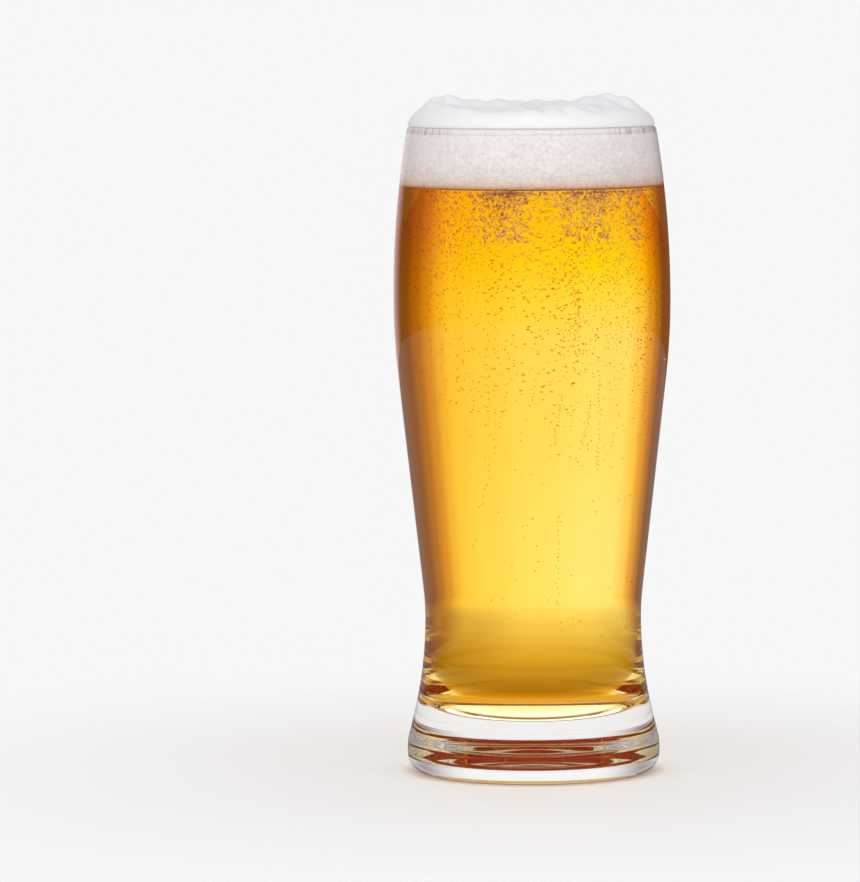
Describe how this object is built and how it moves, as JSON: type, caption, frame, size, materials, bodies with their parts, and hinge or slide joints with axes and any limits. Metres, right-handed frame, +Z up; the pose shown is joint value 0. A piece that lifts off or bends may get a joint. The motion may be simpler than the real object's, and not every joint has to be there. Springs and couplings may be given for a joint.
{
  "type": "pint of beer",
  "caption": "Pint of lager served in its waisted glass with a thick clear foot, under a head of foam that stands above the rim.",
  "frame": {"origin": "centre of the underside of the foot, on the surface that the glass stands on", "axes": "+Z up the glass's axis; +X to the right and +Y away from the viewer, with the foam's higher hump towards +X"},
  "size_m": [0.0788, 0.0788, 0.1927],
  "materials": {
    "clear_glass": "clear polished soda-lime glass",
    "beer": "clear golden lager",
    "foam": "fine off-white foam"
  },
  "bodies": {
    "root": {"glass": "clear_glass", "beer": "beer", "foam_head": "foam"}
  },
  "joints": []
}
